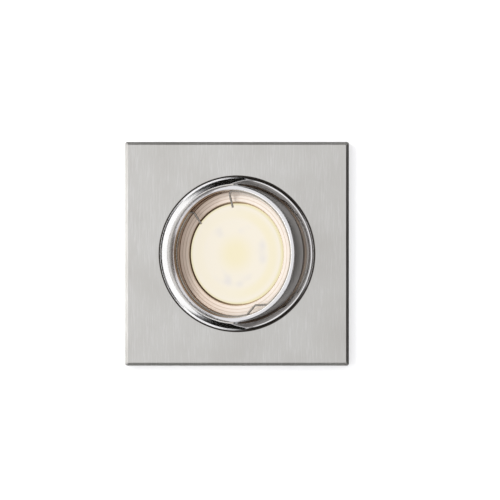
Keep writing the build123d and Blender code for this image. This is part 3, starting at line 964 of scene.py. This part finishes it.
pool_share = add(
    tree,
    "ShaderNodeMath",
    {0: middle_pool.outputs["Result"], 1: ring_part.outputs["Value"]},
    operation="MAXIMUM",
)
glow = add(
    tree,
    "ShaderNodeMix",
    {0: pool_share.outputs["Value"], 6: linear("f7efdf"), 7: linear("f6ecca")},
    data_type="RGBA",
)
print("made", opal_lens.name)

# %% [markdown]
# ## Smudges and the lens's edge
# Between the middle and the yellow ring lie grey smudges of about 9 mm. At the very edge, where light
# is trapped, the lens is yellower again. Its own surface is frosted and hardly reflects.

# %% Smudges and edge
smudge_mm = 9
dim_ring = 11.2 * MM
dim_from = 3.6 * MM
dim_full = 0.5 * MM
trapped_from = lens_radius - 1.0 * MM
trapped_full = lens_radius - 0.1 * MM
point = add(tree, "ShaderNodeTexCoord").outputs["Object"]
smudges = add(
    tree, "ShaderNodeTexNoise", {"Vector": point, "Scale": grain_size(smudge_mm), "Detail": 1.0}
)
off_dim = add(tree, "ShaderNodeMath", {0: radius, 1: dim_ring}, operation="SUBTRACT")
off_dim_size = add(tree, "ShaderNodeMath", {0: off_dim.outputs["Value"]}, operation="ABSOLUTE")
between_pools = add(
    tree,
    "ShaderNodeMapRange",
    {"Value": off_dim_size.outputs["Value"], "From Min": dim_from, "From Max": dim_full},
    interpolation_type="SMOOTHSTEP",
)
smudge_spots = add(
    tree,
    "ShaderNodeMapRange",
    {"Value": smudges.outputs["Fac"], "From Min": 0.47, "From Max": 0.68},
    interpolation_type="SMOOTHSTEP",
)
smudge_share = add(
    tree,
    "ShaderNodeMath",
    {0: between_pools.outputs["Result"], 1: smudge_spots.outputs["Result"]},
    operation="MULTIPLY",
)
glow_mixed = add(
    tree,
    "ShaderNodeMix",
    {0: smudge_share.outputs["Value"], 6: glow.outputs[2], 7: linear("eae5e0")},
    data_type="RGBA",
)
trapped_share = add(
    tree, "ShaderNodeMapRange", {"Value": radius, "From Min": trapped_from, "From Max": trapped_full}
)
glow_edge = add(
    tree,
    "ShaderNodeMix",
    {0: trapped_share.outputs["Result"], 6: glow_mixed.outputs[2], 7: linear("efe6bf")},
    data_type="RGBA",
)
shader.inputs["Base Color"].default_value = linear("3a372f")
shader.inputs["Roughness"].default_value = 0.45
shader.inputs["IOR"].default_value = 1.58
shader.inputs["Emission Strength"].default_value = 0.9
tree.links.new(glow_edge.outputs[2], shader.inputs["Emission Color"])
print("smudges of", smudge_mm, "mm on", opal_lens.name)

# %% [markdown]
# ## Which piece has which finish
# Each CAD node takes one material, and the record names the same slots.

# %% Hand out the finishes
finishes = {
    "face_plate": brushed_nickel,
    "bezel_ring": chrome,
    "friction_washers": spring_strip,
    "tilt_ring": ring_chrome,
    "pivot_pins": zinc,
    "lamp_circlip": spring_wire,
    "lamp_housing": lamp_plastic,
    "lamp_lens": opal_lens,
    "led_board": white_mask,
    "led_chips": phosphor,
    "led_board_screws": zinc,
    "driver_board": solder_mask,
    "driver_components": black_resin,
    "lamp_base": base_plastic,
    "lamp_pins": nickel_pin,
    "lampholder_body": steatite,
    "lampholder_cover": steatite,
    "lampholder_contacts": contact_brass,
    "lampholder_screws": zinc,
    "clip_pins": zinc,
    "clip_arm_right": spring_strip,
    "clip_arm_left": spring_strip,
    "clip_pad_right": silicone,
    "clip_pad_left": silicone,
    "clip_spring_right": spring_wire,
    "clip_spring_left": spring_wire,
}
for name, finish in finishes.items():
    piece = nodes[name]
    piece.data.materials.clear()
    piece.data.materials.append(finish)
print("finished pieces:", len(finishes), "without a finish:", set(nodes) - set(finishes))

# %% [markdown]
# ## One-sided paper
# The stage is made of matt paper. It has to look white without more light on the object, so its
# material glows a little, but only to the camera and to mirrors. It also turns see-through on its
# back, so that a sheet never hides the object from the other side.


# %% Paper
def paper(name, tone, glow, mirror_glow):
    """Matt paper that shows on its front only, brighter to the camera and to mirrors by two glows."""
    finish, tree = empty_finish(name)
    matt = add(tree, "ShaderNodeBsdfDiffuse", {"Color": linear(tone)})
    ray = add(tree, "ShaderNodeLightPath")
    mirror = add(
        tree,
        "ShaderNodeMath",
        {0: ray.outputs["Is Glossy Ray"], 1: ray.outputs["Is Transmission Ray"]},
        operation="MAXIMUM",
    )
    seen = add(tree, "ShaderNodeMath", {0: ray.outputs["Is Camera Ray"], 1: glow}, operation="MULTIPLY")
    mirrored = add(
        tree, "ShaderNodeMath", {0: mirror.outputs["Value"], 1: mirror_glow}, operation="MULTIPLY"
    )
    strength = add(
        tree,
        "ShaderNodeMath",
        {0: seen.outputs["Value"], 1: mirrored.outputs["Value"]},
        operation="MAXIMUM",
    )
    own = add(
        tree, "ShaderNodeEmission", {"Color": linear("ffffff"), "Strength": strength.outputs["Value"]}
    )
    both = add(tree, "ShaderNodeAddShader", {0: matt.outputs["BSDF"], 1: own.outputs["Emission"]})
    clear = add(tree, "ShaderNodeBsdfTransparent")
    side = add(tree, "ShaderNodeNewGeometry")
    shown = add(
        tree,
        "ShaderNodeMixShader",
        {0: side.outputs["Backfacing"], 1: both.outputs["Shader"], 2: clear.outputs["BSDF"]},
    )
    add(tree, "ShaderNodeOutputMaterial", {"Surface": shown.outputs["Shader"]})
    return finish


wall_paper = paper("white wall paper", "f4f4f4", glow=0.28, mirror_glow=0.28)
floor_paper = paper("pale floor paper", "f0f0ee", glow=0.42, mirror_glow=0.42)
print("made", wall_paper.name, "and", floor_paper.name)

# %% [markdown]
# ## Floor and wall
# Seen from the front, the plate lies on a white surface that keeps a faint shadow. Seen from above,
# the light stands over a pale floor. One sheet can't do both without hiding half of the object, so
# there are two, and each shows on one side only. The wall has a hole for what lies behind the plate.


# %% Sheets
def stage_piece(name, points, faces, finish):
    """A stage mesh with one finish, made and linked into the scene."""
    mesh = bpy.data.meshes.new(name)
    mesh.from_pydata(points, [], faces)
    mesh.materials.append(finish)
    made = bpy.data.objects.new(name, mesh)
    bpy.context.collection.objects.link(made)
    return made


def hide_from(made, *rays):
    """Hides an object from some kinds of ray, such as 'diffuse'."""
    for ray in rays:
        setattr(made, f"visible_{ray}", False)


def sheet_with_hole(name, z, half, hole, facing, finish):
    """Flat square sheet round a square hole, whose front faces -Z or +Z."""
    corners = []
    for size in (half, hole):
        corners += [(-size, -size, z), (size, -size, z), (size, size, z), (-size, size, z)]
    faces = []
    for i in range(4):
        j = (i + 1) % 4
        face = (i, j, 4 + j, 4 + i)
        faces.append(face if facing > 0 else face[::-1])
    return stage_piece(name, corners, faces, finish)


wall_z = 0.6 * MM
wall_half = 600 * MM
wall_hole = 42 * MM
floor_z = -18 * MM
floor_half = 3000 * MM
floor_hole = 0.01 * MM
wall = sheet_with_hole("white wall", wall_z, wall_half, wall_hole, facing=-1, finish=wall_paper)
floor = sheet_with_hole("pale floor", floor_z, floor_half, floor_hole, facing=1, finish=floor_paper)
hide_from(floor, "diffuse", "glossy", "transmission", "shadow")
print("stage:", wall.name, floor.name)

# %% [markdown]
# ## The hollow behind the light
# Between the ring and the bezel the eye looks past the lamp into the ceiling, where it is dark. Two
# half-round cards close that view as painted shade, and they show only from the front. The ring leans
# forward on the right, so the right card can stand closer than the left one without cutting the lamp.
# The left card is paler, as painted light, because the ring lets more of the room's light in on that
# side, and paler still to the polished metal round it.

# %% Dark ceiling hollow
hollow_radius = 40 * MM
arc_step_degrees = 5
right_hollow_z = 15.5 * MM
left_hollow_z = 20.5 * MM


def hollow_card(name, z, first_degree, finish):
    """Half-round card across the hole in the wall, which the camera and mirrors see."""
    arc = [math.radians(first_degree + turn) for turn in range(0, 181, arc_step_degrees)]
    rim = [(hollow_radius * math.cos(a), hollow_radius * math.sin(a), z) for a in arc]
    made = stage_piece(name, rim, [tuple(range(len(rim)))[::-1]], finish)
    hide_from(made, "diffuse", "transmission", "shadow")
    return made


hollow_dark = paper("dark ceiling hollow", "584a3e", glow=0.04, mirror_glow=0.04)
right_hollow = hollow_card("right ceiling hollow", right_hollow_z, -90, hollow_dark)
hollow_pale = paper("pale ceiling hollow", "8a857c", glow=0.11, mirror_glow=0.8)
left_hollow = hollow_card("left ceiling hollow", left_hollow_z, 90, hollow_pale)
print("stage:", right_hollow.name, left_hollow.name)

# %% [markdown]
# ## Light
# The studio is a pale room with a large soft box on the left and a smaller one that gives the
# shadows a direction. The boxes are hidden from mirrors, so that the metal shows an even room. The
# room has two levels: it looks white to the camera and to mirrors, and it lights matt surfaces a
# little less.

# %% Studio room
room_seen = 1.08
room_lighting = 0.9
room = bpy.data.worlds.new("pale studio room")
bpy.context.scene.world = room
room.use_nodes = True
room_tree = room.node_tree
room_tree.nodes.clear()
room_ray = add(room_tree, "ShaderNodeLightPath")
room_level = add(
    room_tree,
    "ShaderNodeMapRange",
    {"Value": room_ray.outputs["Is Diffuse Ray"], "To Min": room_seen, "To Max": room_lighting},
)
room_light = add(
    room_tree,
    "ShaderNodeBackground",
    {"Color": linear("f2f2f4"), "Strength": room_level.outputs["Result"]},
)
add(room_tree, "ShaderNodeOutputWorld", {"Surface": room_light.outputs["Background"]})
bpy.context.scene.view_settings.view_transform = "Standard"
print("made", room.name)


# %% Soft boxes
def soft_box(name, place, size, power):
    """Rectangular area light at a place in metres that points at the origin."""
    lamp = bpy.data.lights.new(name, "AREA")
    lamp.shape = "RECTANGLE"
    lamp.size, lamp.size_y = size
    lamp.energy = power
    made = bpy.data.objects.new(name, lamp)
    bpy.context.collection.objects.link(made)
    made.location = place
    made.rotation_mode = "QUATERNION"
    made.rotation_quaternion = (Vector() - Vector(place)).to_track_quat("-Z", "Y")
    hide_from(made, "camera", "glossy")
    return made


left_box = soft_box("left soft box", place=(-0.55, 0.0, -0.3), size=(0.5, 0.9), power=1.5)
key_box = soft_box("left key light", place=(-0.43, -0.3, -0.4), size=(0.2, 0.2), power=1.75)
print("lights:", left_box.name, key_box.name)

# %% [markdown]
# ## Cards that only the metal mirrors
# Polished metal needs something dark to mirror, or it looks like grey plastic. Photographers stand
# cards round it for that. These cards are hidden from the camera and from diffuse light, so they
# light nothing: they are only mirrored. Each is built for the right side, from outlines in metres,
# and is then turned to its own side.


# %% Card helpers
def card_finish(name, tone, strength=1.0):
    """A colour that shows as it is, whatever light falls on it."""
    finish, tree = empty_finish(name)
    even = add(tree, "ShaderNodeEmission", {"Color": linear(tone), "Strength": strength})
    add(tree, "ShaderNodeOutputMaterial", {"Surface": even.outputs["Emission"]})
    return finish


def mirror_card(name, turn, finish, leaves):
    """Card of flat leaves, each an outline of (x, y, z) points, turned about Z by degrees."""
    points = []
    faces = []
    for leaf in leaves:
        faces.append(tuple(range(len(points), len(points) + len(leaf))))
        points += leaf
    made = stage_piece(name, points, faces, finish)
    made.rotation_euler = (0, 0, math.radians(turn))
    hide_from(made, "camera", "diffuse", "shadow", "transmission")
    return made


def upright(reach, *outline):
    """One leaf that stands square to the wall at that reach, from (y, height) points."""
    return [(reach, y, -height) for y, height in outline]


def panel(reach, half, foot, top):
    """One upright rectangular leaf, that far to both sides and between two heights."""
    return upright(reach, (-half, foot), (half, foot), (half, top), (-half, top))


black_felt = card_finish("black felt card", "161513")
white_board = card_finish("white card", "ffffff", strength=1.1)
bright_board = card_finish("bright white card", "ffffff", strength=1.9)
brown_board = card_finish("brown card", "5a4a3e")
print("made", [m.name for m in (black_felt, white_board, bright_board, brown_board)])

# %% [markdown]
# ## Low cards
# Black cards stand at the right, at the top and at the bottom. A low card lies on the wall beside the
# plate and turns up at its end, for the chamfers.

# %% Low black cards
reach = 0.35
wide = 0.36
low_top = 0.062
plate_margin = 1 * MM
on_wall = 0.4 * MM
beside_plate = plate_half + plate_margin
lying = [(beside_plate, -wide), (reach, -wide), (reach, wide), (beside_plate, wide)]
low_leaves = [[(x, y, on_wall) for x, y in lying], panel(reach, wide, -on_wall, low_top)]
for side, turn in (("right", 0), ("top", -90), ("bottom", 90)):
    low_card = mirror_card(f"{side} low black card", turn, black_felt, low_leaves)
    print("card:", low_card.name)

# %% [markdown]
# ## The slit
# High cards stand above the low ones. At the right the two leave a slit, with a white card behind it,
# and the left side of the bezel mirrors that slit as a bright crescent. A middle card lifts the slit's
# foot, so that the crescent's outer edge stays dark. The slit closes towards the top and the bottom,
# so the crescent tapers off there. A bright card on the left is for the right side of the rings. A
# brown card above the high one at the right gives the metal a warm tone to mirror.

# %% High cards, white cards and a brown card
slit_foot = 0.108
slit_top = 0.18
slit_corner = 0.21
right_top = 0.36
side_top = 0.27
side_end = 0.2
top_bend = -0.06
bottom_bend = 0.03
behind_slit = reach + 0.04
white_half = 0.6
white_top = 0.25
left_top = 0.12
brown_half = 0.3
brown_top = 0.85
right_taper = [(-wide, slit_corner), (0, slit_top), (wide, slit_corner)]
right_high = upright(reach, *right_taper, (wide, right_top), (-wide, right_top))
top_taper = [(-side_end, low_top), (top_bend, low_top), (wide, slit_corner)]
top_high = upright(reach, *top_taper, (wide, side_top), (-side_end, side_top))
bottom_taper = [(-wide, slit_corner), (bottom_bend, low_top), (side_end, low_top)]
bottom_high = upright(reach, *bottom_taper, (side_end, side_top), (-wide, side_top))
card_list = [
    ("right middle black card", 0, black_felt, panel(reach, wide, low_top, slit_foot)),
    ("right high black card", 0, black_felt, right_high),
    ("top high black card", -90, black_felt, top_high),
    ("bottom high black card", 90, black_felt, bottom_high),
    ("white card behind the slit", 0, white_board, panel(behind_slit, white_half, 0, white_top)),
    ("left white card", 180, bright_board, panel(reach, wide, 0, left_top)),
    ("right front brown card", 0, brown_board, panel(reach, brown_half, right_top, brown_top)),
]
for name, turn, finish, leaf in card_list:
    mirror_card(name, turn, finish, [leaf])
    print("card:", name)

# %% [markdown]
# ## Camera
# The photograph looks straight at the plate, with the picture's right along +X and its top along
# -Y. A long lens keeps the square plate square. The 90 mm plate is 224 of the 500 pixels, which
# sets the distance, and the camera is moved sideways until the plate lies where it does in the picture.

# %% Camera
image_px = 500
plate_px = 224.0
plate_centre_px = (237.0, 253.8)
metres_per_px = 2 * plate_half / plate_px
view_width = image_px * metres_per_px
camera_data = bpy.data.cameras.new("camera")
camera_data.lens = 200.0
camera_data.sensor_width = 36.0
camera_data.clip_end = 10
camera = bpy.data.objects.new("camera", camera_data)
bpy.context.collection.objects.link(camera)
distance = view_width * camera_data.lens / camera_data.sensor_width
camera.location = (
    (image_px / 2 - plate_centre_px[0]) * metres_per_px,
    (image_px / 2 - plate_centre_px[1]) * metres_per_px,
    plate_front - distance,
)
camera.rotation_euler = (math.pi, 0, 0)
bpy.context.scene.camera = camera
print("camera distance", round(distance, 4), "m, place", [round(v, 4) for v in camera.location])
